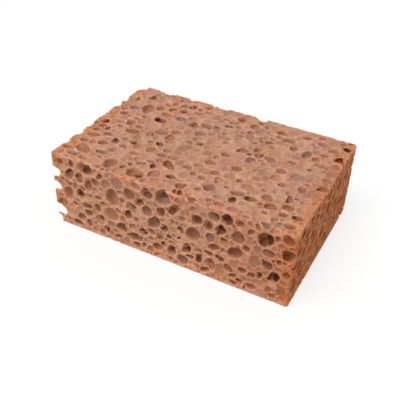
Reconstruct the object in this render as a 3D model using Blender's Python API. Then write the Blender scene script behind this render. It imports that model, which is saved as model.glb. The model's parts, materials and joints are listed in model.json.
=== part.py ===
"""Grout sponge: one rectangular block of open-celled cellulose foam, cut on all six sides.

Units are metres and +Z is up. The origin is the middle of the underside. The length runs along X and
the width along Y, and the front is the long side at -Y.
"""

import math
import random

import bmesh
import bpy
from mathutils import Matrix, Vector

MM = 0.001

# Driving dimensions of the block
LENGTH = 180 * MM
WIDTH = 120 * MM
HEIGHT = 58 * MM
UPRIGHT_RADIUS = 3.5 * MM
RIM_RADIUS = 0.8 * MM
UPRIGHT_STEPS = 4
RIM_STEPS = 2

# The cells that are strewn over each face, largest first: width, and the solid left round them
STREWN_CELLS = (
    (8.8 * MM, 11.0 * MM),
    (6.8 * MM, 9.0 * MM),
    (4.9 * MM, 7.4 * MM),
)
TRIES_IN_SQUARE_DECIMETRE = 250
SQUARE_DECIMETRE = 0.01
SEED = 11

# The solid left between a strewn cell and the face's edge, and round the middle of the underside
EDGE_WALL = 1.1 * MM
REST_SPOT_RADIUS = 7 * MM

# Cells that the block's edges run through: width, spacing, solid left round them, the distance from
# the edge to their middle, and how far each strays from its place as a share of the spacing
EDGE_CELL = 5.5 * MM
EDGE_CELL_SPACING = 30 * MM
EDGE_CELL_WALL = 4 * MM
EDGE_CELL_INSET = 0.6 * MM
EDGE_CELL_STRAY = 0.3

# How cells vary: their size, their height and depth as shares of their width, and how far an outline
# strays from an ellipse. A cell's middle is this share of its depth below the face.
SIZE_SHARE = (0.85, 1.1)
OVAL_SHARE = (0.72, 1.0)
DEPTH_SHARE = (0.45, 0.75)
LUMP = 0.09
MIDDLE = 0.25

# A cell's form, by its width: how many sides it has, and its rings from the mouth inwards, each as a
# share of its width and of its depth. The first ring lies outside the face, and a point closes the end.
LARGE_CELL = 9.5 * MM
MEDIUM_CELL = 5.0 * MM
LARGE_FORM = (9, ((0.95, -0.25), (1.0, 0.3), (0.74, 0.78)))
MEDIUM_FORM = (7, ((0.95, -0.25), (1.0, 0.32), (0.66, 0.8)))
SMALL_FORM = (6, ((0.95, -0.3), (0.9, 0.5)))

# A deep cell breaks through into a smaller one behind it, which starts at this share of its depth and
# strays by up to this share of its width
INNER_FROM = 6.0 * MM
INNER_SHARE = 0.5
INNER_START = 0.7
INNER_STRAY = 0.15

# Cells chosen by eye: across and up from the face's lower left corner, width, height, turn and depth,
# in millimetres and degrees, with the face seen from outside
FRONT_CELLS = (
    (29, 52, 13, 9, -10, 5.5),
    (15, 45, 6, 10, -25, 4),
    (24, 31, 7, 9, 0, 5),
    (12, 28, 8, 11, 0, 3.5),
    (2, 43, 6, 8, 0, 5),
    (1, 31, 5, 6, 0, 4),
    (3, 7, 8, 8, 0, 6),
    (50, 37, 10, 13, -10, 7),
    (48, 22, 12, 9, 0, 3),
    (28, 17, 7, 12, 10, 3.5),
    (63, 46, 9, 9, 0, 4.5),
    (82, 30, 8, 11, -35, 6),
    (88, 50, 10, 12, -20, 6.5),
    (76, 39, 6, 9, 20, 3.5),
    (56, 14, 9, 7, 0, 5),
    (68, 9, 12, 8, 0, 5.5),
    (114, 44, 7, 9, -20, 8),
    (111, 30, 9, 12, -40, 7),
    (99, 46, 6, 11, -40, 3),
    (107, 17, 6, 9, -15, 4),
    (142, 42, 8, 9, -20, 4),
    (141, 28, 8, 12, -45, 8),
    (126, 28, 9, 6, 10, 3.5),
    (160, 47, 10, 11, -20, 6.5),
    (174, 41, 7, 9, 0, 6),
    (168, 20, 7, 11, -10, 8),
    (153, 4, 8, 6, 0, 5),
)
TOP_CELLS = (
    (24, 89, 9, 13, 20, 6),
    (19, 105, 8, 6, 0, 4),
    (40, 78, 10, 8, -35, 5),
    (75, 75, 9, 7, 0, 4.5),
    (75, 88, 8, 7, -20, 4),
    (50, 62, 10, 8, -10, 4.5),
    (33, 54, 10, 8, 0, 5),
    (59, 49, 6, 5, 0, 6),
    (41, 41, 6, 5, 0, 6),
    (10, 36, 10, 6, -10, 4),
    (67, 37, 8, 5, 0, 4),
    (77, 29, 11, 6, -40, 6),
    (23, 29, 7, 6, 0, 4),
    (50, 29, 7, 5, 0, 4),
    (16, 17, 12, 8, -15, 4),
    (41, 10, 9, 11, 0, 7),
    (63, 9, 13, 9, -10, 6),
    (112, 19, 9, 7, -20, 7),
    (131, 23, 9, 5, 10, 6),
    (154, 21, 8, 7, 0, 5),
    (164, 26, 8, 7, 0, 5),
    (171, 8, 7, 6, 0, 4),
    (89, 97, 7, 6, 0, 4),
    (152, 88, 8, 10, 0, 5),
    (168, 80, 10, 6, 0, 4.5),
    (135, 99, 9, 7, -10, 4.5),
    (127, 107, 8, 6, 0, 4),
    (24, 118, 10, 7, 0, 6),
    (74, 118, 10, 6, 0, 6),
    (106, 117, 12, 8, 0, 6),
)

FOAM_COLOUR = (0.50, 0.235, 0.145)
FOAM_ROUGHNESS = 0.95


class Face:
    """One cut side of the block: its lower left corner, its two directions and the way in."""

    def __init__(self, corner, across, up, size):
        self.corner = Vector(corner)
        self.across = Vector(across)
        self.up = Vector(up)
        self.inward = self.up.cross(self.across)
        self.size = size

    def point(self, across, up):
        return self.corner + self.across * across + self.up * up


def block_faces():
    """The six sides, each as seen from outside."""
    x, y = LENGTH / 2, WIDTH / 2
    return {
        "front": Face((-x, -y, 0), (1, 0, 0), (0, 0, 1), (LENGTH, HEIGHT)),
        "right": Face((x, -y, 0), (0, 1, 0), (0, 0, 1), (WIDTH, HEIGHT)),
        "back": Face((x, y, 0), (-1, 0, 0), (0, 0, 1), (LENGTH, HEIGHT)),
        "left": Face((-x, y, 0), (0, -1, 0), (0, 0, 1), (WIDTH, HEIGHT)),
        "top": Face((-x, -y, HEIGHT), (1, 0, 0), (0, 1, 0), (LENGTH, WIDTH)),
        "underside": Face((-x, y, 0), (1, 0, 0), (0, -1, 0), (LENGTH, WIDTH)),
    }


class Cell:
    """A rounded hollow in the foam, opened by the cut through one face."""

    def __init__(self, face, opening, width, height, turn, depth):
        self.face = face
        self.opening = opening
        self.width = width
        self.height = height
        self.depth = depth
        self.centre = opening + face.inward * depth * MIDDLE
        self.reach = max(width, height, depth) / 2
        along = face.across * math.cos(turn) + face.up * math.sin(turn)
        aside = face.inward.cross(along)
        axes = Matrix((along * width / 2, aside * height / 2, face.inward * depth)).transposed()
        self.place = Matrix.Translation(opening) @ axes.to_4x4()

    def gap_to(self, other):
        """The solid left between two cells, on the safe side."""
        return (self.centre - other.centre).length - self.reach - other.reach

    def form(self):
        """How many sides and which rings a cell of this width has."""
        largest = max(self.width, self.height)
        if largest >= LARGE_CELL:
            return LARGE_FORM
        if largest >= MEDIUM_CELL:
            return MEDIUM_FORM
        return SMALL_FORM


def chosen_cells(face, rows):
    """The cells whose places are listed above."""
    return [
        Cell(face, face.point(across * MM, up * MM), width * MM, height * MM, math.radians(turn), depth * MM)
        for across, up, width, height, turn, depth in rows
    ]


def chance_cell(face, across, up, width, chance):
    """A cell of about this width, with its size, turn and depth left to chance."""
    width *= chance.uniform(*SIZE_SHARE)
    height = width * chance.uniform(*OVAL_SHARE)
    turn = chance.uniform(0, math.pi)
    depth = width * chance.uniform(*DEPTH_SHARE)
    return Cell(face, face.point(across, up), width, height, turn, depth)


def add_if_clear(cell, wall, placed):
    """Keep a cell that leaves this much solid round it, and the middle of the underside whole."""
    rest_spot_gap = cell.opening.length - cell.reach
    if rest_spot_gap > REST_SPOT_RADIUS and all(cell.gap_to(other) > wall for other in placed):
        placed.append(cell)


def add_edge_cells(face, placed, chance):
    """A few cells along a side's foot and head, which the edge runs through."""
    for up in (EDGE_CELL_INSET, face.size[1] - EDGE_CELL_INSET):
        for step in range(1, int(face.size[0] / EDGE_CELL_SPACING)):
            across = (step + chance.uniform(-EDGE_CELL_STRAY, EDGE_CELL_STRAY)) * EDGE_CELL_SPACING
            cell = chance_cell(face, across, up, EDGE_CELL, chance)
            add_if_clear(cell, EDGE_CELL_WALL, placed)


def strew(face, placed, chance):
    """Cells between those that are placed, whole within the face, until there is no more room."""
    tries = round(face.size[0] * face.size[1] / SQUARE_DECIMETRE * TRIES_IN_SQUARE_DECIMETRE)
    for width, wall in STREWN_CELLS:
        inset = width * SIZE_SHARE[1] / 2 + EDGE_WALL + RIM_RADIUS
        for _ in range(tries):
            across = chance.uniform(inset, face.size[0] - inset)
            up = chance.uniform(inset, face.size[1] - inset)
            add_if_clear(chance_cell(face, across, up, width, chance), wall, placed)


def inner_cell(cell, chance):
    """The smaller cell that a deep one opens into."""
    face = cell.face
    stray = face.across * chance.uniform(-INNER_STRAY, INNER_STRAY) + face.up * chance.uniform(0, INNER_STRAY)
    opening = cell.opening + stray * cell.width + face.inward * cell.depth * INNER_START
    width = cell.width * INNER_SHARE
    return chance_cell(Face(opening, face.across, face.up, face.size), 0, 0, width, chance)


def all_cells(chance):
    """Every cell: the chosen ones, those along the edges, the strewn ones and those behind deep ones."""
    faces = block_faces()
    placed = chosen_cells(faces["front"], FRONT_CELLS) + chosen_cells(faces["top"], TOP_CELLS)
    for side in ("front", "right", "back", "left"):
        add_edge_cells(faces[side], placed, chance)
    for face in faces.values():
        strew(face, placed, chance)
    inner = [inner_cell(cell, chance) for cell in placed if cell.depth >= INNER_FROM]
    return placed + inner


def add_cell(mesh, cell, chance):
    """One closed cell: rings of one uneven outline, which shrink inwards to a point."""
    sides, rings = cell.form()
    outline = []
    for side in range(sides):
        angle = side * math.tau / sides
        radius = 1 + chance.uniform(-LUMP, LUMP)
        outline.append((radius * math.cos(angle), radius * math.sin(angle)))
    loops = []
    for share, depth in rings:
        places = [cell.place @ Vector((x * share, y * share, depth)) for x, y in outline]
        loops.append([mesh.verts.new(place) for place in places])
    end = mesh.verts.new(cell.place @ Vector((0, 0, 1)))
    mesh.faces.new(loops[0])
    for side in range(sides):
        following = (side + 1) % sides
        for outer, inner in zip(loops, loops[1:]):
            mesh.faces.new((outer[side], outer[following], inner[following], inner[side]))
        mesh.faces.new((loops[-1][side], loops[-1][following], end))


def new_object(name, mesh):
    """A scene object from a bmesh, with its faces pointing out."""
    bmesh.ops.recalc_face_normals(mesh, faces=mesh.faces)
    data = bpy.data.meshes.new(name)
    mesh.to_mesh(data)
    mesh.free()
    made = bpy.data.objects.new(name, data)
    bpy.context.scene.collection.objects.link(made)
    return made


def cell_cutter():
    """All the cells as one cutter."""
    chance = random.Random(SEED)
    mesh = bmesh.new()
    for cell in all_cells(chance):
        add_cell(mesh, cell, chance)
    cutter = new_object("cells", mesh)
    cutter.hide_render = True
    cutter.display_type = "WIRE"
    return cutter


def edge_rise(edge):
    return abs(edge.verts[0].co.z - edge.verts[1].co.z)


def foam_block():
    """The block before the cells are cut: a box with rounded uprights and barely rounded rims."""
    mesh = bmesh.new()
    bmesh.ops.create_cube(mesh, size=1.0)
    size = Matrix.Diagonal((LENGTH, WIDTH, HEIGHT, 1))
    bmesh.ops.transform(mesh, matrix=Matrix.Translation((0, 0, HEIGHT / 2)) @ size, verts=mesh.verts)
    uprights = [edge for edge in mesh.edges if edge_rise(edge) > HEIGHT / 2]
    bmesh.ops.bevel(
        mesh, geom=uprights, offset=UPRIGHT_RADIUS, segments=UPRIGHT_STEPS, profile=0.5, affect="EDGES"
    )
    rims = [edge for edge in mesh.edges if edge_rise(edge) < HEIGHT / 2]
    bmesh.ops.bevel(mesh, geom=rims, offset=RIM_RADIUS, segments=RIM_STEPS, profile=0.5, affect="EDGES")
    return new_object("sponge", mesh)


def foam_material():
    """Dry orange-tan cellulose."""
    material = bpy.data.materials.new("sponge")
    material.use_nodes = True
    shader = material.node_tree.nodes["Principled BSDF"]
    shader.inputs["Base Color"].default_value = (*FOAM_COLOUR, 1)
    shader.inputs["Roughness"].default_value = FOAM_ROUGHNESS
    shader.inputs["Metallic"].default_value = 0
    return material


def main():
    for old in list(bpy.data.objects):
        bpy.data.objects.remove(old, do_unlink=True)
    sponge = foam_block()
    sponge.data.materials.append(foam_material())
    cut = sponge.modifiers.new("open_cells", "BOOLEAN")
    cut.operation = "DIFFERENCE"
    cut.solver = "EXACT"
    cut.use_self = True
    cut.object = cell_cutter()


main()
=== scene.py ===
"""Grout sponge: the looks of the block of open-celled cellulose foam, with its floor, light and camera.

The foam is worked out as a field of distances on a grid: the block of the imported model, less its cells.
The cells are bubbles. Where two of them press together, a thin flat wall stays between them, and they
lie open where the block was cut. The field becomes one mesh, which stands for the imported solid.

Lengths are in millimetres until the mesh is made, and in metres after that.
"""

import json
import math

import bmesh
import bpy
import numpy as np
import openvdb
from mathutils import Matrix, Vector

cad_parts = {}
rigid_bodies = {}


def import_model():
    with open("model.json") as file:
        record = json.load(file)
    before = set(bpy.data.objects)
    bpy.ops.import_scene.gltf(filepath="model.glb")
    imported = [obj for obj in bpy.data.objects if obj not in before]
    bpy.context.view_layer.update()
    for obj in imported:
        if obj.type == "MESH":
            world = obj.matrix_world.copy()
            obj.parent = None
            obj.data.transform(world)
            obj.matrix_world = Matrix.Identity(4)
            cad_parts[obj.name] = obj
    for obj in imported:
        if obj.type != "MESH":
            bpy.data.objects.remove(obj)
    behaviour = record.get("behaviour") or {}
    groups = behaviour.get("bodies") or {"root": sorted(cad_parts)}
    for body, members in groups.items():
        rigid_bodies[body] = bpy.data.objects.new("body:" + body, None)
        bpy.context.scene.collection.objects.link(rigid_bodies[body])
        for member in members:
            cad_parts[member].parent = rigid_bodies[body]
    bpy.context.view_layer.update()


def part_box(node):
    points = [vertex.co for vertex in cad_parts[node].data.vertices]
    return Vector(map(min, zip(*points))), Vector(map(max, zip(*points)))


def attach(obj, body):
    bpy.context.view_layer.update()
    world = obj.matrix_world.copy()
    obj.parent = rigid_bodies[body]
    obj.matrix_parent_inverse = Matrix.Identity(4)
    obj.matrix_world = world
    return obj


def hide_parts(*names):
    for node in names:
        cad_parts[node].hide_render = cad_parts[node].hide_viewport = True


# A millimetre in metres, the seed of every random draw, and the least that a distance is divided by
MM = 0.001
SEED = 7
TINY = 1e-6

# The grid: its pitch, how many steps it has round the block, and the most that it has to measure
VOXEL = 0.55
MARGIN = 3
FAR = 4.0

# The mesh that the grid becomes
TRIANGLES = 190000
SAME_POINT = 0.001 * MM

# The block's edges: the uprights, and the rims of the top and the underside
UPRIGHT_RADIUS = 2.2
RIM_RADIUS = 0.8

# How cells meet: the wall between two, how soft its foot is, and how round the mouths are on the sides
# and, from this far below it, on the top
CELL_WALL = 0.75
CREASE = 0.25
SIDE_MOUTH = 0.6
TOP_MOUTH = 1.1
MOUTH_FADE = 8.0

# How far the foam strays from true ellipsoids: the pitch of each random field and its amount, and the
# room that a cell has round it for that
STRAY = ((5.0, 0.9), (2.4, 0.5))
STRAY_ROOM = 2.0

# Cells of the sides: the share of their depth that their middle lies below the side. The chosen ones are
# made this much larger than listed, and with this share of their depth on sides where it isn't all of it.
SIDE_SINK = 0.15
CHOSEN_GROWTH = 1.1
CHOSEN_SHARE = {"top": 0.9}

# Strewn cells, in falling sizes: width from and to, and tries for each square millimetre
GRADES = (
    (8.5, 12.0, 0.02),
    (6.5, 8.5, 0.08),
    (5.0, 6.5, 0.5),
    (3.8, 5.0, 1.5),
    (2.8, 3.8, 2.5),
    (2.0, 2.8, 2.5),
)

# Their depth as a share of their width: a lot drawn from 0 to 1 picks the first row that it isn't past.
# On a crowded side, which has more than this many chosen cells, most are shallow. The last value is the
# share of that depth on sides where it isn't all of it.
SHALLOW = (0.1, 0.28)
MIDDLING = (0.3, 0.5)
DEEP = (0.5, 0.8)
PLAIN_DEPTHS = ((0.6, SHALLOW), (0.92, MIDDLING), (1.0, DEEP))
CROWDED_DEPTHS = ((0.85, SHALLOW), (0.98, MIDDLING), (1.0, DEEP))
CROWDED = 20
STREWN_SHARE = {"top": 0.8}

# How strewn cells lie: their height for their width, how near two may come for the sum of their radii,
# what they leave to the side's edge, the chance of one to bite into that edge, how near to it that one's
# middle may come for its radius, and how many placed cells are compared at a time
OVAL = (0.65, 1.0)
NEARNESS = 0.87
EDGE_WALL = 0.6
EDGE_CHANCE = 0.012
EDGE_REACH = 0.5
BATCH = 64

# How far the cells of the underside stay from the other sides, so that the lower edges are whole
LOWER_LIP = 1.7

# Bold cells keep their shape against the others: all chosen ones, and on a side that isn't crowded the
# strewn ones wider than this
BOLD_FROM = 6.0

# How pale a cell is, from 0 to 1, and what stands in where no cell is near
BOLD_TONES = (0.0, 0.45)
PLAIN_TONES = (0.2, 0.95)
NO_CELL_LOT = 0.5

# Inner cells, which open into a larger one: its least mean radius, the tries for each, their chance
# behind the ends, the long sides and the flat faces, their radius for its, what of it lies past the
# larger one's wall, and how far they stray from round
INNER_FROM = 2.4
INNER_TRIES = 3
INNER_CHANCE = (0.36, 0.32, 0.2)
INNER_SHARE = (0.45, 0.8)
INNER_OVERLAP = 0.3
INNER_SHAPE = (0.85, 1.15)

# Chosen cells: across and up from the side's lower left corner, width, height, turn and depth,
# in millimetres and degrees, with the side seen from outside
FRONT_CELLS = (
    (29, 53, 13, 9, -10, 6), (15, 45, 6, 10, -25, 4), (31, 40.5, 6, 9, -15, 3.5),
    (23.5, 31, 7, 8.5, 10, 5), (12.5, 28, 8, 11, 0, 4), (38, 33.5, 6, 3, 15, 2.5),
    (49.5, 37.5, 10, 13, -10, 6), (48, 23, 12, 10, 0, 3), (37, 24.5, 5, 7, 0, 3),
    (27.5, 22, 8, 6, 20, 3), (28.5, 17, 6, 7, 0, 4), (18, 21, 4, 3.4, 0, 3), (28.5, 7.5, 4.5, 6, 0, 3),
    (19, 4.5, 8, 4.5, 0, 4), (39.5, 3.5, 5, 5, 0, 4), (53, 5.5, 6, 3, 20, 3), (62, 28, 6, 7, 0, 5),
    (63, 45.5, 9, 9, 0, 4.5), (71, 41.5, 7, 7, 0, 3.5), (77, 36.5, 7, 9, 20, 4),
    (82, 29.5, 8, 11, -35, 6), (88.5, 51.5, 10, 12, -20, 7), (87.5, 40, 6, 7.5, 0, 3.5),
    (56, 14.5, 9, 7, -10, 6), (67, 10, 12, 7, 0, 6), (68.5, 5, 6, 6, 0, 5), (74, 18, 7, 5, 15, 3),
    (113.5, 43.5, 7, 9, -20, 9), (111, 31, 9, 11, -40, 7), (102, 32, 5, 4, 20, 4),
    (101, 24, 3, 3, 0, 3), (93.5, 22, 4, 4, 0, 3), (97, 45.5, 6, 11, -40, 3.5), (107, 18, 6, 9, -15, 4),
    (116, 13, 5, 7, -10, 4), (96, 11, 6, 9, -10, 3.5), (85, 10, 8, 6, 20, 3.5), (104, 7, 8, 7, 0, 3.5),
    (130.5, 42.5, 8, 6, 10, 5), (125.5, 51, 8, 6, 20, 4), (142.5, 41.5, 8, 9, -20, 4.5),
    (141, 28.5, 8, 12, -45, 8), (148.5, 35.5, 5, 4.5, -30, 4), (123.5, 34, 6, 8, -15, 3),
    (126, 27, 8, 5.5, 10, 4), (132, 19.5, 5, 3.6, 0, 4), (123, 20.5, 7, 5, 0, 3),
    (137, 14.5, 5, 7, -15, 3.5), (120.5, 5.5, 7, 5, 30, 5), (141, 3.8, 6, 4, 0, 3),
    (154, 6, 8, 4.5, 0, 3), (141.5, 10, 5, 3.5, 20, 3), (160.5, 47, 10, 11, -20, 7),
    (143, 52.5, 5, 5, 0, 3), (174.5, 52.5, 7, 7, 0, 5), (175.5, 41, 8, 9, 0, 6),
    (163, 28.5, 8, 6.5, -20, 5), (163.5, 38, 7, 6, 0, 3), (170.5, 33.5, 4, 4, 0, 3),
    (168.5, 20, 7, 10, -10, 8), (158.5, 17.5, 4, 5, 0, 3.5), (147, 17, 6, 5, 10, 3),
    (176, 25.5, 5, 6, 0, 3.5), (168.5, 5, 5, 4, 0, 2.5),
)
TOP_CELLS = (
    (24, 89, 9, 14, 20, 7), (31.5, 94.5, 7, 8, 20, 4), (18.5, 105, 8, 6, 0, 4), (41, 97, 5, 7, 0, 4),
    (49.5, 99, 7, 6, 0, 4), (13.5, 86, 7, 6, -20, 4), (34, 102.5, 5, 4, 0, 3), (46, 107, 4, 7, -25, 4),
    (67.5, 107, 9, 5, 0, 4.5), (84, 104.5, 5, 4, 0, 3), (41, 78, 10, 7, -20, 5), (41, 88, 9, 6, -10, 3),
    (54, 88, 8, 6, -10, 3.5), (66, 84, 8, 7, -20, 3), (76, 76, 9, 7, 0, 5), (75, 88, 8, 7, -20, 4.5),
    (12.5, 74, 6, 6, 10, 4), (22.5, 77, 4, 3, 0, 3), (28, 76.5, 4, 3, 0, 3), (26, 71.5, 6, 4, 0, 4),
    (17, 61, 7, 6, 0, 3), (33, 61.5, 6, 4, -20, 3.5), (51, 63, 10, 8, -10, 5), (52, 69, 4, 4, 0, 3),
    (60, 68, 6, 7, -25, 3), (75, 62.5, 6, 4, 0, 4.5), (83, 63, 6, 5, 0, 6), (33, 54, 10, 8, -10, 5.5),
    (20.5, 55.5, 4, 4, 0, 3), (20.5, 47.5, 3.4, 3, 0, 3), (14.5, 48, 4, 5, 0, 3),
    (51.5, 48, 5, 4, 0, 3), (59, 48.5, 6, 5, 0, 6), (41, 41.5, 6, 5, 0, 6), (33.5, 41.5, 6, 4, 0, 3.5),
    (8, 43, 5, 5, 0, 3), (20, 41.5, 8, 5, 0, 3), (57, 39.5, 7, 7, -20, 3), (10.5, 36, 10, 6, -10, 4.5),
    (67, 36.5, 8, 5.5, -10, 4), (29.5, 36, 6, 4.5, 0, 4), (77.5, 28.5, 12, 6, -40, 7),
    (38, 33.5, 7, 5, -25, 3), (23, 29.5, 7, 6, 0, 4.5), (50, 29.5, 8, 5, 0, 4.5), (10, 27, 7, 5, 0, 4),
    (64, 26, 6, 4, 0, 3), (60, 21, 7, 4.5, 0, 4.5), (68.5, 21.5, 4.5, 5, 0, 4),
    (16, 17, 12, 8, -25, 4.5), (30, 19, 10, 5, 0, 3.5), (42, 11, 9, 12, 0, 7), (63, 9, 13, 9, -10, 6.5),
    (74, 14.5, 7, 8, -30, 3), (54.5, 16, 4.5, 4, 0, 3), (52, 11, 4, 5, 0, 3.5), (13, 8, 7, 5, -20, 4),
    (22.5, 7.5, 7, 4, -10, 4), (5, 13, 7, 5, 0, 3.5), (85.5, 17.5, 7, 5, 0, 4),
    (95, 11, 7, 6, -20, 3.5), (96, 28, 5, 5, 0, 3.5), (103, 27, 5, 5, 0, 4), (89, 33, 6, 5, 0, 3.5),
    (112, 19.5, 9, 8, -20, 8), (107, 14, 4, 4, 0, 3), (98, 4, 7, 4, 0, 3.5), (109, 2.5, 6, 4, -20, 4),
    (118, 7.5, 4, 4, 0, 3), (122, 25.5, 4.6, 3, 0, 5), (131, 23, 9, 5, 10, 6),
    (130.5, 14.5, 6, 6, -30, 4), (141, 21, 7, 6, 0, 5), (126, 6, 7, 6, 0, 3), (135, 6, 7, 6, 0, 3),
    (154, 20.5, 8, 7, -10, 5.5), (164, 25, 8, 7, 0, 5.5), (164, 17, 6, 5, 0, 4),
    (147.5, 19, 4, 4, 0, 3), (173, 17.5, 7, 5, 0, 4), (172, 7.5, 7, 6, 0, 4.5), (153, 13, 4, 4, 0, 3),
    (161, 9.5, 4, 5, 0, 3), (145.5, 3, 4, 3, 0, 3), (159, 2, 7, 4, 0, 4), (165, 47, 6, 8, 0, 5),
    (166, 35.5, 4, 3, 0, 3), (162, 33, 4, 7, 0, 4), (176.5, 54.5, 6, 6, 0, 5), (167, 53.5, 4, 3, 0, 3),
    (89, 96.5, 7, 6, 0, 4.5), (96, 99.5, 6, 4, 0, 3), (91, 85, 4.6, 4, 0, 3.5), (102, 88, 6, 5, 0, 4),
    (97, 80, 4, 4, 0, 3), (82.5, 90, 5, 4, 0, 3), (107, 96.5, 6, 5, 0, 3), (115.5, 85.5, 4, 4, 0, 3.5),
    (117, 92.5, 3, 3, 0, 3), (106, 106.5, 7, 7, 0, 5), (121, 101, 4, 3, 0, 3),
    (127, 107.5, 8, 6, 0, 4.5), (125, 96, 6, 5, -20, 3), (129, 85, 5, 4, 0, 3.5),
    (135, 100, 9, 7, 0, 5), (142, 92, 6, 7, 0, 4.5), (152.5, 89, 7, 10, 0, 5.5),
    (164, 94, 6, 5, 0, 4.5), (160, 86, 5, 6, 0, 3), (167, 80, 10, 5.5, 0, 5),
    (168, 102.5, 8, 6, 0, 4.5), (152, 104, 4, 4, 0, 3.5), (158, 108, 7, 6, 0, 4),
    (145, 110, 8, 6, 0, 4), (175.5, 109, 6, 6, 0, 5), (175, 92, 8, 6, 0, 5), (176, 84, 7, 5, -20, 4),
    (155, 116, 6, 6, 0, 4), (24, 119.5, 8, 5, 0, 4), (47, 120, 5, 4, 0, 3), (74, 119.5, 8, 4, 0, 4),
    (106, 119, 9, 6, 0, 4.5), (2.5, 117, 6, 8, 0, 4), (0, 93, 5, 8, 0, 5), (0, 83, 5, 6, 0, 5),
    (0, 46, 4, 8, 0, 5), (0, 33, 5, 7, 0, 5), (0, 18, 4, 6, 0, 4), (112, 71, 8, 6, 20, 4),
    (122, 62, 7, 7, 0, 3), (133, 70, 9, 6, -20, 4), (104, 60, 6, 5, 0, 5), (145, 60, 8, 7, 10, 4),
    (118, 48, 7, 6, 0, 4), (100, 46, 9, 6, -10, 4), (134, 44, 7, 5, 0, 3), (148, 74, 6, 5, 0, 4),
    (152, 46, 6, 6, 0, 3), (108, 36, 7, 5, 0, 3), (126, 36, 6, 5, 30, 4),
)
# These lie at the front left corner, long and turned along the photograph's line of sight, so that the
# corner is open right through them
LEFT_CELLS = (
    (116, 41, 20, 6.5, 39, 7.5), (116, 29, 18, 5.5, 39, 7), (114, 7, 25, 8, 39, 10),
    (120, 2, 12, 8, 39, 4.5),
)
CHOSEN_CELLS = {"front": FRONT_CELLS, "top": TOP_CELLS, "left": LEFT_CELLS}

# Colours of the foam between the cells; the rim colour is painted highlight along the small cells' rims
RIM_PAINTED_HIGHLIGHT = (0.685, 0.378, 0.258, 1)
WALL_TAN = (0.620, 0.340, 0.224, 1)
WALL_PINK = (0.595, 0.308, 0.226, 1)

# Colours inside the cells, darker than the walls partly by their own colour and partly as painted shade;
# the pale one is also painted highlight at their mouths, and the deep one painted light deep in the block
CELL_PALE = (0.580, 0.290, 0.180, 1)
CELL_ORANGE = (0.420, 0.168, 0.078, 1)
CELL_BROWN = (0.380, 0.163, 0.090, 1)
CELL_GREY = (0.330, 0.180, 0.138, 1)
CELL_DEEP = (0.560, 0.290, 0.220, 1)

# Tints that multiply those: patches, orange at the edges and ends, partly the foam's own and partly
# painted glow, the upright sides, painted shade on their right part, the flat faces, and painted light on
# the near and left parts of those
PATCH_YELLOW = (0.960, 0.980, 0.680, 1)
PATCH_ROSE = (1.000, 0.950, 1.150, 1)
EDGE_ORANGE_AND_GLOW = (1.050, 0.780, 0.470, 1)
SIDE_WARM = (0.955, 0.943, 0.890, 1)
RIGHT_PAINTED_SHADE = (0.900, 0.780, 0.665, 1)
TOP_DULL = (0.944, 0.953, 0.975, 1)
TOP_PAINTED_LIGHT = (1.070, 1.070, 1.060, 1)

# Patterns: how many waves or cells they have in a millimetre, the detail of the noises, and how far the
# small cells are swayed
BROAD_NOISE = (0.09, 3.0)
FINE_NOISE = (0.9, 4.0)
PATCH_NOISE = (0.2, 4.0)
SWAY_NOISE = (0.35, 2.0)
SWAY = 2.2
SMALL_CELLS = 0.3
PITS = 0.8

# Ramps over the patterns: from and to, and what they give there where it isn't 0 and 1
FILM = (0.03, 0.16)
FILM_CHANCE = (0.0, 0.7)
RIM = (0.0, 0.2, 0.5, 0.0)
# The pits are painted brown: painted shade in the tiny holes
PIT = (0.3, 0.08, 0.0, 0.5)
YELLOW = (0.50, 0.66, 0.0, 0.5)
ROSE = (0.50, 0.36, 0.0, 0.5)
PATCHY = (0.35, 0.65)
PATCHY_ENDS = (0.0, 1.0, 0.5, 1.0)
PATCHY_EDGES = (0.0, 1.0, 0.1, 0.55)

# Ramps over a cell's tint and tone, and over how far down the cell a point lies, from 0 to 1
BROWN_TINTS = (0.25, 0.5)
GREY_TINTS = (0.55, 0.95)
PALE_TONES = (0.0, 1.0, 0.0, 0.9)
# Further down a cell the wall colour turns into the cell's darker one: partly its own colour, partly
# painted shade
SUNK = (0.05, 0.65)

# Ramps over distances: the depth in the block, for painted highlight at the cells' mouths and painted
# light deep down, the way to the ends and the edges, for the orange and painted glow, the flat faces, and
# the place from the middle towards the front and the left, for painted light there
PALE_DEPTHS = (0.2, 1.4, 0.25, 0.0)
DEEP_DEPTHS = (2.5, 9.0)
NEAR_END = (15.0, 0.0)
NEAR_EDGE = (9.0, 0.0)
SIDE_BAND = (0.5, 8.0)
FLAT_BAND = (8.0, 0.5)
FRONT_PART = (-12.0, -48.0)
LEFT_PART = (-30.0, -80.0, 0.0, 0.6)

# Light and dark by the broad and the fine noise, on top of an even share
SHADE = (0.3, 0.3, 0.7)

# The surface: roughness by the fine noise, gloss, and the light carried through the foam
ROUGHNESS = (0.3, 0.7, 0.7, 0.95)
SPECULAR = 0.3
THROUGH_WEIGHT = 0.5
THROUGH_RADIUS = (1.0, 0.4, 0.2)
THROUGH_SCALE = 2.6 * MM

# Bump: how high the fine noise, the small cells' film and the pits stand, and its strength and depth
BUMP_FINE = 0.5
BUMP_FILM = -0.5
BUMP_PITS = 0.6
BUMP_STRENGTH = 0.6
BUMP_DEPTH = 0.5 * MM

# The photograph's camera
CAMERA_PLACE = (162.37, -334.45, 285.74)
CAMERA_AZIMUTH = math.radians(26.48)
CAMERA_ELEVATION = math.radians(36.27)
CAMERA_ROLL = math.radians(2.38)
CAMERA_LENS = 56.13

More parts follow.
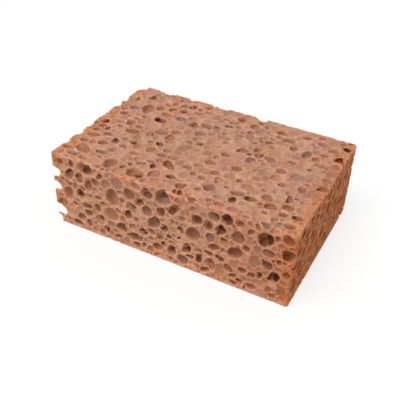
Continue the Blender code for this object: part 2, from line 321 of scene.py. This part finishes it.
# The stage: where the floor is looked at, it is this share of an even glow, and its own lit white for
# the rest
WHITE = (1, 1, 1, 1)
FLOOR_SIDE = 4.0
FLOOR_COLOUR = (0.86, 0.86, 0.86, 1)
FLOOR_GLOW = 1.06
FLOOR_GLOW_SHARE = 0.72
SKY_STRENGTH = 0.46
LAMP_ENERGY = 2.08
LAMP_SPREAD = math.radians(40)
LAMP_DIRECTION = (0.2, 0.52, -1.0)


class Side:
    """One cut side of the block: its lower left corner, its two directions, its size and the way in."""

    def __init__(self, corner, across, up, size):
        self.corner = np.array(corner, float)
        self.across = np.array(across, float)
        self.up = np.array(up, float)
        self.inward = np.cross(self.up, self.across)
        self.size = np.array(size, float)

    def point(self, across, up, below):
        return self.corner + self.across * across + self.up * up + self.inward * below


class Block:
    """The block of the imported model, in millimetres."""

    def __init__(self, low, high):
        self.low = np.array(low) / MM
        self.high = np.array(high) / MM
        self.middle = (self.low + self.high) / 2
        self.size = self.high - self.low

    def sides(self):
        x0, y0, z0 = self.low
        x1, y1, z1 = self.high
        length, width, height = self.size
        return {
            "front": Side((x0, y0, z0), (1, 0, 0), (0, 0, 1), (length, height)),
            "right": Side((x1, y0, z0), (0, 1, 0), (0, 0, 1), (width, height)),
            "back": Side((x1, y1, z0), (-1, 0, 0), (0, 0, 1), (length, height)),
            "left": Side((x0, y1, z0), (0, -1, 0), (0, 0, 1), (width, height)),
            "top": Side((x0, y0, z1), (1, 0, 0), (0, 1, 0), (length, width)),
            "underside": Side((x0, y1, z0), (1, 0, 0), (0, -1, 0), (length, width)),
        }

    def face_gaps(self, points):
        """How far points lie inside the nearer of the two faces in each direction."""
        return np.minimum(points - self.low, self.high - points)

    def depth(self, points):
        return self.face_gaps(points).min(axis=-1)


class Cell:
    """One bubble of the foam: an ellipsoid, and the flat walls that its neighbours press on it.

    The bottom is how far a side's cell reaches below it, and 0 for an inner cell. The parent is the larger
    cell that an inner one opens into.
    """

    def __init__(self, middle, axes, radii, parent=None, bold=False, bottom=0.0):
        self.middle = middle
        self.axes = axes
        self.radii = np.array(radii, float)
        self.reach = float(self.radii.max())
        self.mean = float(self.radii.mean())
        self.parent = parent
        self.bold = bold
        self.bottom = bottom
        self.walls = []

    def extent(self, direction):
        """How far the ellipsoid reaches from its middle in a direction."""
        return 1 / np.linalg.norm((self.axes @ direction) / self.radii)


def side_cell(side, across, up, width, height, turn, depth, bold):
    """A cell given by its mouth on a side, and its depth."""
    sink = SIDE_SINK * depth
    along = side.across * math.cos(turn) + side.up * math.sin(turn)
    axes = np.array((along, np.cross(side.inward, along), side.inward))
    radii = (width / 2, height / 2, depth - sink)
    return Cell(side.point(across, up, sink), axes, radii, bold=bold, bottom=depth)


def chosen_cells(side, rows, share):
    """The cells whose places are listed above, at a share of their depth."""
    cells = []
    for across, up, width, height, turn, depth in rows:
        mouth = (width * CHOSEN_GROWTH, height * CHOSEN_GROWTH)
        cells.append(side_cell(side, across, up, *mouth, math.radians(turn), depth * share, True))
    return cells


def clear_of(places, reaches, place, reach):
    """Whether a mouth on a side keeps its distance from those that are placed."""
    gaps = np.hypot(*(places - place).T)
    return bool((gaps > (reaches + reach) * NEARNESS).all())


def strew(side, rows, share, chance):
    """Cells of falling size on one side, wherever they find room among its chosen ones."""
    crowded = len(rows) > CROWDED
    depths = CROWDED_DEPTHS if crowded else PLAIN_DEPTHS
    places = np.array([row[:2] for row in rows], float).reshape(-1, 2)
    reaches = np.array([(row[2] + row[3]) / 4 * CHOSEN_GROWTH for row in rows], float)
    cells = []
    for smallest, largest, tries in GRADES:
        count = int(side.size[0] * side.size[1] * tries)
        tried = chance.uniform((0, 0), side.size, (count, 2))
        widths = chance.uniform(smallest, largest, count)
        heights = widths * chance.uniform(*OVAL, count)
        means = (widths + heights) / 4
        edge_gaps = np.minimum(tried, side.size - tried).min(axis=1)
        bites = (chance.random(count) < EDGE_CHANCE) & (edge_gaps > means * EDGE_REACH)
        free = (edge_gaps > means + EDGE_WALL) | bites
        for start in range(0, len(places), BATCH):
            gaps = np.linalg.norm(tried[:, None] - places[None, start:start + BATCH], axis=2)
            room = (reaches[None, start:start + BATCH] + means[:, None]) * NEARNESS
            free &= (gaps > room).all(axis=1)
        new_places = np.empty((0, 2))
        new_reaches = np.empty(0)
        for index in np.flatnonzero(free):
            if not clear_of(new_places, new_reaches, tried[index], means[index]):
                continue
            new_places = np.vstack((new_places, tried[index]))
            new_reaches = np.append(new_reaches, means[index])
            lot = chance.random()
            span = next(span for limit, span in depths if lot <= limit)
            depth = widths[index] * chance.uniform(*span) * share
            turn = chance.uniform(0, math.pi)
            bold = not crowded and widths[index] > BOLD_FROM
            mouth = (*tried[index], widths[index], heights[index])
            cells.append(side_cell(side, *mouth, turn, depth, bold))
        places = np.vstack((places, new_places))
        reaches = np.append(reaches, new_reaches)
    return cells


def random_axes(chance):
    """Three directions at right angles, turned at random."""
    return np.linalg.qr(chance.normal(size=(3, 3)))[0]


def inner_cells(block, cells, chance):
    """Smaller cells that the large ones break through into."""
    found = []
    for cell in cells:
        if cell.mean < INNER_FROM:
            continue
        nearest = int(np.argmin(block.face_gaps(cell.middle)))
        inward = np.zeros(3)
        inward[nearest] = math.copysign(1, (block.middle - cell.middle)[nearest])
        for _ in range(INNER_TRIES):
            if chance.random() > INNER_CHANCE[nearest]:
                continue
            direction = chance.normal(size=3)
            direction = direction / np.linalg.norm(direction) + inward
            direction /= np.linalg.norm(direction)
            radius = cell.mean * chance.uniform(*INNER_SHARE)
            middle = cell.middle + direction * (cell.extent(direction) + radius * INNER_OVERLAP)
            if block.depth(middle) >= radius:
                axes = random_axes(chance)
                found.append(Cell(middle, axes, radius * chance.uniform(*INNER_SHAPE, 3), cell))
    return found


def leave_lip(block, cells):
    """The cells of the underside moved inward where they come near another side."""
    for cell in cells:
        for axis in (0, 1):
            room = block.size[axis] / 2 - cell.extent(np.eye(3)[axis]) - LOWER_LIP
            middle = block.middle[axis]
            cell.middle[axis] = np.clip(cell.middle[axis], middle - room, middle + room)


def press_together(cells):
    """Flat walls where two cells would run into each other."""
    middles = np.array([cell.middle for cell in cells])
    reaches = np.array([cell.reach for cell in cells])
    for index, cell in enumerate(cells):
        gaps = np.linalg.norm(middles - cell.middle, axis=1)
        for other in np.flatnonzero(gaps < reaches + cell.reach + CELL_WALL):
            neighbour = cells[other]
            related = neighbour.parent is cell or cell.parent is neighbour
            if other == index or related or gaps[other] == 0 or cell.bold and not neighbour.bold:
                continue
            direction = (neighbour.middle - cell.middle) / gaps[other]
            mine = cell.extent(direction)
            theirs = neighbour.extent(direction)
            if mine + theirs + CELL_WALL <= gaps[other]:
                continue
            if neighbour.bold and not cell.bold:
                cell.walls.append((direction, gaps[other] - theirs - CELL_WALL))
            else:
                cell.walls.append((direction, (gaps[other] + mine - theirs - CELL_WALL) / 2))


def all_cells(block, chance):
    """Every cell of the foam: those of each side, and the smaller ones behind them."""
    own = {}
    for name, side in block.sides().items():
        rows = CHOSEN_CELLS.get(name, ())
        own[name] = chosen_cells(side, rows, CHOSEN_SHARE.get(name, 1.0))
        own[name] += strew(side, rows, STREWN_SHARE.get(name, 1.0), chance)
    cells = [cell for side_cells in own.values() for cell in side_cells]
    cells += inner_cells(block, cells, chance)
    leave_lip(block, own["underside"])
    press_together(cells)
    return cells


class Grid:
    """The grid of points that the foam is worked out on."""

    def __init__(self, block):
        self.shape = [int(round(size / VOXEL)) + 2 * MARGIN + 1 for size in block.size]
        self.origin = block.low - MARGIN * VOXEL
        x, y, z = (self.origin[k] + np.arange(self.shape[k], dtype=np.float32) * VOXEL for k in range(3))
        self.x = x[:, None, None]
        self.y = y[None, :, None]
        self.z = z[None, None, :]

    def window(self, middle, reach):
        """The part of the grid round a point, or None where it lies outside."""
        low = np.maximum(((middle - reach - self.origin) / VOXEL).astype(int), 0)
        high = np.minimum(((middle + reach - self.origin) / VOXEL).astype(int) + 2, self.shape)
        if (high <= low).any():
            return None
        return tuple(slice(a, b) for a, b in zip(low, high))

    def nearest(self, points):
        """The grid point nearest to each of some points, as three lists of indices."""
        steps = np.round((points - self.origin) / VOXEL).astype(int)
        return tuple(np.clip(steps, 0, np.array(self.shape) - 1).T)


def uneven(shape, step, amount, chance):
    """A smooth random field: a coarse random grid, blended in each direction."""
    coarse = [int(math.ceil(count * VOXEL / step)) + 3 for count in shape]
    field = chance.uniform(-amount, amount, coarse).astype(np.float32)
    for axis, count in enumerate(shape):
        place = np.arange(count, dtype=np.float32) * VOXEL / step
        cell = place.astype(int)
        blend = place - cell
        blend = blend * blend * (3 - 2 * blend)
        spread = [1, 1, 1]
        spread[axis] = count
        low = np.take(field, cell, axis=axis)
        high = np.take(field, cell + 1, axis=axis)
        field = low + (high - low) * blend.reshape(spread)
    return field


def smooth_max(a, b, radius):
    """The larger of two distances, with the corner between them rounded."""
    blend = np.clip(0.5 + 0.5 * (a - b) / radius, 0, 1)
    return b + (a - b) * blend + radius * blend * (1 - blend)


def block_distance(block, grid):
    """The distance to the block's surface, negative inside, with its uprights and its rims rounded."""
    half = block.size / 2
    across = np.abs(grid.x - block.middle[0]) - (half[0] - UPRIGHT_RADIUS)
    along = np.abs(grid.y - block.middle[1]) - (half[1] - UPRIGHT_RADIUS)
    outline = np.hypot(np.maximum(across, 0), np.maximum(along, 0)) - UPRIGHT_RADIUS
    outline = outline + np.minimum(np.maximum(across, along), 0) + RIM_RADIUS
    above = np.abs(grid.z - block.middle[2]) - (half[2] - RIM_RADIUS)
    outside = np.hypot(np.maximum(outline, 0), np.maximum(above, 0))
    distance = outside + np.minimum(np.maximum(outline, above), 0) - RIM_RADIUS
    return distance.astype(np.float32)


def hollows(grid, cells, chance):
    """The distance to the nearest cell at each grid point, negative inside, and which cell that is."""
    strays = [sum(uneven(grid.shape, step, amount, chance) for step, amount in STRAY) for _ in range(3)]
    distance = np.full(grid.shape, FAR, np.float32)
    owner = np.full(grid.shape, -1, np.int16)
    for index, cell in enumerate(cells):
        window = grid.window(cell.middle, cell.reach + STRAY_ROOM)
        if window is None:
            continue
        x = grid.x[window[0]] - cell.middle[0] + strays[0][window]
        y = grid.y[:, window[1]] - cell.middle[1] + strays[1][window]
        z = grid.z[:, :, window[2]] - cell.middle[2] + strays[2][window]
        near = np.zeros_like(x)
        steep = np.zeros_like(x)
        for axis, radius in zip(cell.axes, cell.radii):
            share = (x * axis[0] + y * axis[1] + z * axis[2]) / radius
            near += share * share
            steep += (share / radius) ** 2
        near = np.sqrt(near)
        mine = near * (near - 1) / np.maximum(np.sqrt(steep), TINY)
        for direction, offset in cell.walls:
            wall = x * direction[0] + y * direction[1] + z * direction[2] - offset
            mine = smooth_max(mine, wall, CREASE)
        closer = mine < distance[window]
        distance[window][closer] = mine[closer]
        owner[window][closer] = index
    return distance, owner


def zero_surface(field, origin):
    """The zero surface of a field of distances, as points and four-sided faces."""
    volume = openvdb.FloatGrid(background=FAR)
    volume.copyFromArray(np.ascontiguousarray(field))
    points, _, quads = volume.convertToPolygons(isovalue=0.0, adaptivity=0.0)
    return points * VOXEL + origin, quads.astype(np.int64)


def largest_part(count, faces):
    """Which points belong to the largest connected part."""
    label = np.arange(count)
    corners = faces.shape[1]
    pairs = np.concatenate([faces[:, (k, (k + 1) % corners)] for k in range(corners)])
    while True:
        lowest = label.copy()
        shared = np.minimum(label[pairs[:, 0]], label[pairs[:, 1]])
        np.minimum.at(lowest, pairs[:, 0], shared)
        np.minimum.at(lowest, pairs[:, 1], shared)
        lowest = lowest[lowest]
        if (lowest == label).all():
            return label == np.bincount(label).argmax()
        label = lowest


def foam_surface(block, grid, distance):
    """The block less its cells, as points and faces, without what hangs loose in it."""
    fade = (block.high[2] - MOUTH_FADE, block.high[2])
    mouth = np.interp(grid.z, fade, (SIDE_MOUTH, TOP_MOUTH)).astype(np.float32)
    field = smooth_max(block_distance(block, grid), -distance, mouth)
    points, quads = zero_surface(field, grid.origin)
    points = np.clip(points, block.low, block.high)
    kept = largest_part(len(points), quads)
    number = np.cumsum(kept) - 1
    return points[kept], number[quads[kept[quads[:, 0]]]]


def new_piece(name, points, faces):
    """An object whose faces all have as many corners, from points in metres."""
    mesh = bpy.data.meshes.new(name)
    mesh.vertices.add(len(points))
    mesh.vertices.foreach_set("co", points.astype(np.float32).ravel())
    mesh.loops.add(faces.size)
    mesh.loops.foreach_set("vertex_index", faces.astype(np.int32).ravel())
    mesh.polygons.add(len(faces))
    mesh.polygons.foreach_set("loop_start", np.arange(len(faces), dtype=np.int32) * faces.shape[1])
    mesh.update(calc_edges=True)
    mesh.validate()
    piece = bpy.data.objects.new(name, mesh)
    bpy.context.scene.collection.objects.link(piece)
    return piece


def thin_out(piece):
    """Fewer triangles, which stay where the surface bends, and no two points in one place."""
    count = sum(len(face.vertices) - 2 for face in piece.data.polygons)
    fewer = piece.modifiers.new("fewer", "DECIMATE")
    fewer.ratio = min(1, TRIANGLES / count)
    fewer.use_collapse_triangulate = True
    made = bpy.data.meshes.new_from_object(piece.evaluated_get(bpy.context.evaluated_depsgraph_get()))
    piece.modifiers.clear()
    old = piece.data
    piece.data = made
    bpy.data.meshes.remove(old)
    made.name = piece.name
    work = bmesh.new()
    work.from_mesh(made)
    bmesh.ops.remove_doubles(work, verts=work.verts[:], dist=SAME_POINT)
    work.to_mesh(made)
    work.free()


def mark_points(mesh, block, grid, cells, owner, chance):
    """Each point's depth in the block, how far down its cell it lies, and that cell's tint and tone."""
    places = np.zeros(len(mesh.vertices) * 3, np.float32)
    mesh.vertices.foreach_get("co", places)
    places = places.reshape(-1, 3) / MM
    # Where no cell is near, the owner is -1, which picks what is appended here
    owners = owner[grid.nearest(places)]
    tints = np.append(chance.random(len(cells)), NO_CELL_LOT)
    tones = [chance.uniform(*(BOLD_TONES if cell.bold else PLAIN_TONES)) for cell in cells]
    tones = np.append(tones, NO_CELL_LOT)
    bottoms = np.append([cell.bottom for cell in cells], np.inf)
    depths = block.depth(places)
    sunk = np.clip(depths / np.maximum(bottoms[owners], VOXEL), 0, 1)
    marks = {"tint": tints[owners], "tone": tones[owners], "depth": depths, "sunk": sunk}
    for name, values in marks.items():
        attribute = mesh.attributes.new(name, "FLOAT", "POINT")
        attribute.data.foreach_set("value", np.asarray(values, np.float32))


def foam(block, chance):
    """The sponge's mesh, marked for its material."""
    cells = all_cells(block, chance)
    grid = Grid(block)
    distance, owner = hollows(grid, cells, chance)
    points, quads = foam_surface(block, grid, distance)
    piece = new_piece("foam", points * MM, quads)
    thin_out(piece)
    mark_points(piece.data, block, grid, cells, owner, chance)
    piece.data.shade_smooth()
    return piece


class Nodes:
    """Short ways to add nodes to a material's or the world's tree."""

    def __init__(self, tree):
        self.tree = tree

    def add(self, kind, inputs=(), **settings):
        node = self.tree.nodes.new(kind)
        for name, value in settings.items():
            setattr(node, name, value)
        for name, value in dict(inputs).items():
            self.put(node.inputs[name], value)
        return node

    def put(self, socket, value):
        if isinstance(value, bpy.types.NodeSocket):
            self.tree.links.new(value, socket)
        else:
            socket.default_value = value

    def math(self, operation, a, b):
        return self.add("ShaderNodeMath", {0: a, 1: b}, operation=operation).outputs[0]

    def vector(self, operation, a, b=(0, 0, 0)):
        return self.add("ShaderNodeVectorMath", {0: a, 1: b}, operation=operation).outputs[0]

    def split(self, value):
        return self.add("ShaderNodeSeparateXYZ", {"Vector": value}).outputs

    def ramp(self, value, low, high, start=0.0, end=1.0):
        node = self.add(
            "ShaderNodeMapRange",
            {"Value": value, "From Min": low, "From Max": high, "To Min": start, "To Max": end},
            interpolation_type="SMOOTHSTEP",
        )
        return node.outputs["Result"]

    def mix(self, share, a, b, blend="MIX"):
        # Of the sockets with the same names, these are the ones for colours
        inputs = {"Factor": share, 6: a, 7: b}
        return self.add("ShaderNodeMix", inputs, data_type="RGBA", blend_type=blend).outputs[2]

    def tint(self, share, colour, tint):
        return self.mix(share, colour, tint, "MULTIPLY")

    def attribute(self, name):
        return self.add("ShaderNodeAttribute", attribute_name=name).outputs["Fac"]

    def noise(self, place, scale, detail, output="Fac"):
        inputs = {"Vector": place, "Scale": scale, "Detail": detail}
        return self.add("ShaderNodeTexNoise", inputs).outputs[output]

    def bubbles(self, place, scale, output, feature="F1"):
        inputs = {"Vector": place, "Scale": scale}
        return self.add("ShaderNodeTexVoronoi", inputs, feature=feature).outputs[output]

    def looked_at(self):
        """1 for rays from the camera and for those seen in gloss or through glass, and otherwise 0."""
        rays = self.add("ShaderNodeLightPath").outputs
        share = self.math("MAXIMUM", rays["Is Camera Ray"], rays["Is Glossy Ray"])
        return self.math("MAXIMUM", share, rays["Is Transmission Ray"])


def new_material(name):
    """A material, its nodes and its main shader."""
    material = bpy.data.materials.new(name)
    material.use_nodes = True
    return material, Nodes(material.node_tree), material.node_tree.nodes["Principled BSDF"]


def hollow_colour(nodes, depth):
    """The colour inside the cells: another in each, paler at their mouths as painted highlight, and paler
    deep down as painted light against the shade there.
    """
    tint = nodes.attribute("tint")
    tone = nodes.attribute("tone")
    colour = nodes.mix(nodes.ramp(tint, *BROWN_TINTS), CELL_ORANGE, CELL_BROWN)
    colour = nodes.mix(nodes.ramp(tint, *GREY_TINTS), colour, CELL_GREY)
    colour = nodes.mix(nodes.ramp(tone, *PALE_TONES), colour, CELL_PALE)
    # Painted highlight: paler at the cells' mouths
    colour = nodes.mix(nodes.ramp(depth, *PALE_DEPTHS), colour, CELL_PALE)
    # Painted light: paler and greyer deep in the block, against the shade there
    return nodes.mix(nodes.ramp(depth, *DEEP_DEPTHS), colour, CELL_DEEP)


def tinted_by_place(nodes, block, place, broad, colour):
    """The colour with what depends on the place: orange edges and ends, partly painted glow, warmer sides
    with painted shade to the right, and a duller top with painted light to the front and left.
    """
    gaps = nodes.vector("ABSOLUTE", nodes.vector("SUBTRACT", place, tuple(block.middle)))
    gaps = nodes.split(nodes.vector("SUBTRACT", tuple(block.size / 2), gaps))
    x, y, z = (gaps[name] for name in "XYZ")
    # An edge is as far away as the second nearest face
    most = nodes.math("MAXIMUM", nodes.math("MAXIMUM", x, y), z)
    least = nodes.math("MINIMUM", nodes.math("MINIMUM", x, y), z)
    total = nodes.math("ADD", nodes.math("ADD", x, y), z)
    edge = nodes.math("SUBTRACT", nodes.math("SUBTRACT", total, most), least)
    # Orange near the ends and edges, in patches: partly the foam's own colour, partly painted glow of
    # light through it
    patchy = nodes.ramp(broad, *PATCHY)
    near_end = nodes.math("MULTIPLY", nodes.ramp(x, *NEAR_END), nodes.ramp(patchy, *PATCHY_ENDS))
    near_edge = nodes.math("MULTIPLY", nodes.ramp(edge, *NEAR_EDGE), nodes.ramp(patchy, *PATCHY_EDGES))
    colour = nodes.tint(nodes.math("MAXIMUM", near_end, near_edge), colour, EDGE_ORANGE_AND_GLOW)

    spot = nodes.split(place)
    sides = nodes.ramp(z, *SIDE_BAND)
    colour = nodes.tint(sides, colour, SIDE_WARM)
    # Painted shade: the sides darker and more orange towards the right
    right = nodes.ramp(spot["X"], block.middle[0], block.high[0])
    colour = nodes.tint(nodes.math("MULTIPLY", right, sides), colour, RIGHT_PAINTED_SHADE)
    flats = nodes.ramp(z, *FLAT_BAND)
    colour = nodes.tint(flats, colour, TOP_DULL)
    # Painted light: the flat faces paler towards the front and the left
    front = nodes.ramp(spot["Y"], *FRONT_PART)
    left = nodes.ramp(spot["X"], *LEFT_PART)
    painted_light = nodes.math("MULTIPLY", nodes.math("MAXIMUM", front, left), flats)
    return nodes.tint(painted_light, colour, TOP_PAINTED_LIGHT)


def foam_material(block):
    """Dry cellulose: tan and pink walls with small closed cells, rims of painted highlight and pits in
    painted shade, and browner open cells, darker further down partly as painted shade.
    """
    material, nodes, shader = new_material("cellulose_foam")
    place = nodes.vector("MULTIPLY", nodes.add("ShaderNodeTexCoord").outputs["Object"], (1 / MM,) * 3)
    broad = nodes.noise(place, *BROAD_NOISE)
    fine = nodes.noise(place, *FINE_NOISE)
    patches = nodes.noise(place, *PATCH_NOISE)
    sway = nodes.vector("MULTIPLY", nodes.noise(place, *SWAY_NOISE, "Color"), (SWAY,) * 3)
    swayed = nodes.vector("ADD", place, sway)
    rims = nodes.bubbles(swayed, SMALL_CELLS, "Distance", "DISTANCE_TO_EDGE")
    small = nodes.bubbles(swayed, SMALL_CELLS, "Color")
    small = nodes.add("ShaderNodeSeparateColor", {"Color": small}).outputs
    pits = nodes.bubbles(swayed, PITS, "Distance")

    film = nodes.math("MULTIPLY", nodes.ramp(rims, *FILM), nodes.ramp(small["Red"], *FILM_CHANCE))
    # Painted highlight along the rims of the small cells
    wall = nodes.mix(nodes.ramp(rims, *RIM), WALL_TAN, RIM_PAINTED_HIGHLIGHT)
    wall = nodes.mix(film, wall, nodes.mix(small["Green"], WALL_PINK, CELL_PALE))
    # Painted shade: the pits brown
    wall = nodes.mix(nodes.ramp(pits, *PIT), wall, CELL_BROWN)
    hollow = hollow_colour(nodes, nodes.attribute("depth"))
    # Further down a cell, its darker colour: partly its own, partly painted shade
    colour = nodes.mix(nodes.ramp(nodes.attribute("sunk"), *SUNK), wall, hollow)
    colour = nodes.tint(nodes.ramp(patches, *YELLOW), colour, PATCH_YELLOW)
    colour = nodes.tint(nodes.ramp(patches, *ROSE), colour, PATCH_ROSE)
    colour = tinted_by_place(nodes, block, place, broad, colour)

    shade_broad, shade_fine, shade_even = SHADE
    shade = nodes.math("MULTIPLY", broad, shade_broad)
    shade = nodes.math("ADD", shade, nodes.math("MULTIPLY", fine, shade_fine))
    shade = nodes.math("ADD", shade, shade_even)
    grey = nodes.add("ShaderNodeCombineColor", {name: shade for name in ("Red", "Green", "Blue")})
    nodes.put(shader.inputs["Base Color"], nodes.tint(1.0, colour, grey.outputs["Color"]))
    nodes.put(shader.inputs["Roughness"], nodes.ramp(fine, *ROUGHNESS))
    shader.inputs["Specular IOR Level"].default_value = SPECULAR
    shader.inputs["Subsurface Weight"].default_value = THROUGH_WEIGHT
    shader.inputs["Subsurface Radius"].default_value = THROUGH_RADIUS
    shader.inputs["Subsurface Scale"].default_value = THROUGH_SCALE

    height = nodes.math("MULTIPLY", fine, BUMP_FINE)
    height = nodes.math("ADD", height, nodes.math("MULTIPLY", film, BUMP_FILM))
    height = nodes.math("ADD", height, nodes.math("MULTIPLY", pits, BUMP_PITS))
    inputs = {"Height": height, "Strength": BUMP_STRENGTH, "Distance": BUMP_DEPTH}
    nodes.put(shader.inputs["Normal"], nodes.add("ShaderNodeBump", inputs).outputs["Normal"])
    return material


def floor():
    """A wide white floor that keeps the sponge's soft shadow."""
    half = FLOOR_SIDE / 2
    corners = np.array([(-half, -half, 0), (half, -half, 0), (half, half, 0), (-half, half, 0)])
    piece = new_piece("floor", corners, np.array([(0, 1, 2, 3)]))
    material, nodes, shader = new_material("white_floor")
    shader.inputs["Base Color"].default_value = FLOOR_COLOUR
    shader.inputs["Roughness"].default_value = 1
    shader.inputs["Specular IOR Level"].default_value = 0
    glow = nodes.add("ShaderNodeEmission", {"Color": WHITE, "Strength": FLOOR_GLOW}).outputs[0]
    share = nodes.math("MULTIPLY", nodes.looked_at(), FLOOR_GLOW_SHARE)
    mixed = nodes.add("ShaderNodeMixShader", {0: share, 1: shader.outputs[0], 2: glow}).outputs[0]
    nodes.put(nodes.tree.nodes["Material Output"].inputs["Surface"], mixed)
    piece.data.materials.append(material)


def light():
    """An even white sky, and one wide soft lamp from the front left."""
    world = bpy.data.worlds.new("studio")
    bpy.context.scene.world = world
    world.use_nodes = True
    nodes = Nodes(world.node_tree)
    sky = nodes.tree.nodes["Background"]
    sky.inputs["Color"].default_value = WHITE
    sky.inputs["Strength"].default_value = SKY_STRENGTH
    white = nodes.add("ShaderNodeBackground", {"Color": WHITE}).outputs[0]
    inputs = {0: nodes.looked_at(), 1: sky.outputs[0], 2: white}
    mixed = nodes.add("ShaderNodeMixShader", inputs).outputs[0]
    nodes.put(nodes.tree.nodes["World Output"].inputs["Surface"], mixed)
    lamp = bpy.data.objects.new("lamp", bpy.data.lights.new("lamp", "SUN"))
    lamp.data.energy = LAMP_ENERGY
    lamp.data.angle = LAMP_SPREAD
    lamp.rotation_euler = Vector(LAMP_DIRECTION).to_track_quat("-Z", "Y").to_euler()
    bpy.context.scene.collection.objects.link(lamp)


def camera():
    """The photograph's viewpoint."""
    made = bpy.data.objects.new("camera", bpy.data.cameras.new("camera"))
    made.data.lens = CAMERA_LENS
    turn = Matrix.Rotation(CAMERA_AZIMUTH, 4, "Z")
    tilt = Matrix.Rotation(math.pi / 2 - CAMERA_ELEVATION, 4, "X")
    roll = Matrix.Rotation(CAMERA_ROLL, 4, "Z")
    made.matrix_world = Matrix.Translation(Vector(CAMERA_PLACE) * MM) @ turn @ tilt @ roll
    bpy.context.scene.collection.objects.link(made)
    bpy.context.scene.camera = made


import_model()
block = Block(*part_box("sponge"))
sponge = foam(block, np.random.default_rng(SEED))
sponge.data.materials.clear()
sponge.data.materials.append(foam_material(block))
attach(sponge, "root")
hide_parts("sponge")
floor()
light()
camera()
bpy.context.scene.view_settings.view_transform = "Standard"
